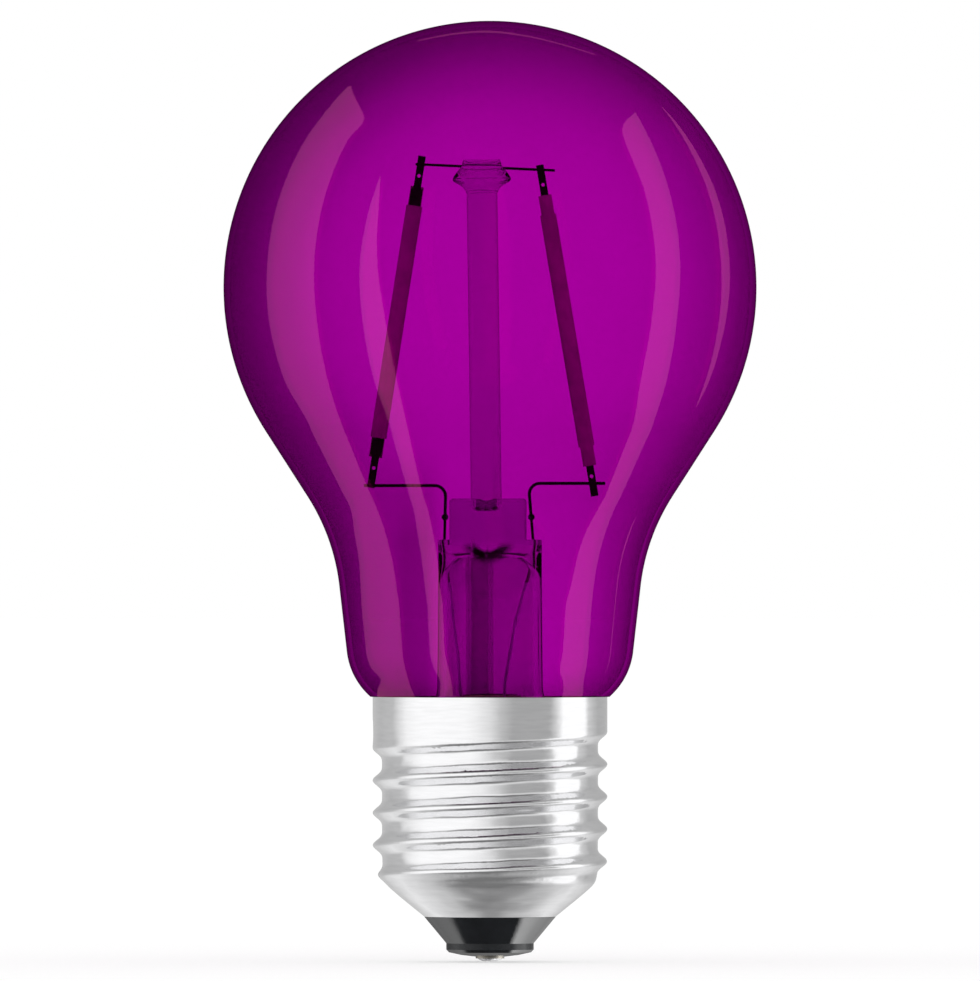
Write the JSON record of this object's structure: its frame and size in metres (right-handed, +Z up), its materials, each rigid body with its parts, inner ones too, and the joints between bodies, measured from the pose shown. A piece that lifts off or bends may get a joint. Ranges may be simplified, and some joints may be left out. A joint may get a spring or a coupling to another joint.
{
  "type": "led filament bulb",
  "caption": "Pear-shaped lamp of clear purple glass with slanted LED filaments on a glass stem and an E27 screw cap.",
  "frame": {"origin": "tip of the bottom contact, on the bulb's axis", "axes": "+Z up the axis from the cap to the crown of the glass, +X across both filaments, -Y towards the side seen"},
  "size_m": [0.0596, 0.0596, 0.1053],
  "materials": {
    "tinted_glass": "clear glass tinted purple, glossy",
    "stem_glass": "clear glass",
    "lead_metal": "drawn nickel-plated wire",
    "seal_copper": "copper-sheathed sealing wire",
    "strip_ceramic": "white ceramic",
    "diode": "polished chips",
    "phosphor": "yellow silicone",
    "terminal_metal": "plated strip",
    "cap_metal": "bright rolled sheet",
    "insulator_glass": "black glass",
    "contact_brass": "plated brass",
    "solder": "tinned solder",
    "cement": "baked cement",
    "board": "glass-epoxy laminate",
    "black_moulding": "moulded package",
    "capacitor_sleeve": "sleeved can",
    "resistor_body": "flameproof coating"
  },
  "bodies": {
    "root": {"glass_envelope": "tinted_glass", "stem_flare": "stem_glass", "exhaust_tube": "stem_glass", "stem_post": "stem_glass", "bridge_wire": "lead_metal", "lead_wire_left": "lead_metal", "lead_wire_right": "lead_metal", "seal_wire_left": "seal_copper", "seal_wire_right": "seal_copper", "outer_lead_left": "seal_copper", "outer_lead_right": "seal_copper", "filament_strip_left": "strip_ceramic", "filament_strip_right": "strip_ceramic", "led_chips_left": "diode", "led_chips_right": "diode", "phosphor_coating_left": "phosphor", "phosphor_coating_right": "phosphor", "top_terminal_left": "terminal_metal", "top_terminal_right": "terminal_metal", "foot_terminal_left": "terminal_metal", "foot_terminal_right": "terminal_metal", "screw_shell": "cap_metal", "insulator": "insulator_glass", "centre_contact": "contact_brass", "contact_solder": "solder", "cap_cement": "cement", "driver_board": "board", "bridge_rectifier": "black_moulding", "current_regulator": "black_moulding", "smoothing_capacitor": "capacitor_sleeve", "fuse_resistor": "resistor_body", "neutral_wire": "lead_metal"}
  },
  "joints": []
}
